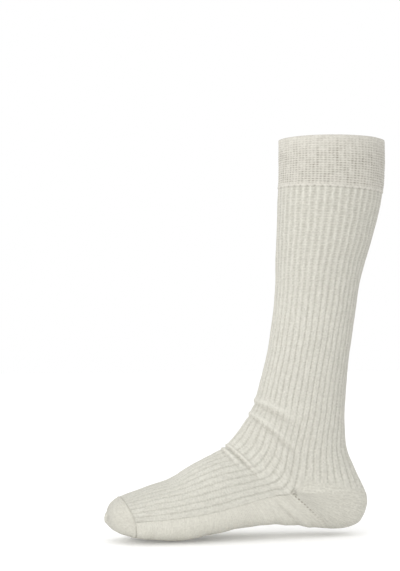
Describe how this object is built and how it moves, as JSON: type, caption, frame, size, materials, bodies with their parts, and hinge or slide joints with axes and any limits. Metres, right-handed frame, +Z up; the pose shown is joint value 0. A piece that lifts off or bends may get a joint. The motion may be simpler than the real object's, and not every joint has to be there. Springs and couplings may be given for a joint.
{
  "type": "knee sock",
  "caption": "Knee-length ribbed sock in its worn shape, open at the welt and hollow to the toe, with plain heel pocket, sole and toe cap.",
  "frame": {"origin": "middle of the mouth, level with the welt's turned edge, where the leg goes in", "axes": "+Z up along the leg and out of the mouth; the foot points along -X; -Y is the foot's inner side"},
  "size_m": [0.2816, 0.0966, 0.3915],
  "materials": {
    "welt_knit": "ecru yarn, fine waffle of laid-in elastic",
    "rib_knit": "ecru yarn, wide rib",
    "heel_knit": "ecru yarn, plain knit",
    "sole_knit": "ecru yarn, plain knit",
    "toe_knit": "ecru yarn, plain knit"
  },
  "bodies": {
    "root": {"cuff": "welt_knit", "leg": "rib_knit", "heel": "heel_knit", "sole": "sole_knit", "toe": "toe_knit"}
  },
  "joints": []
}
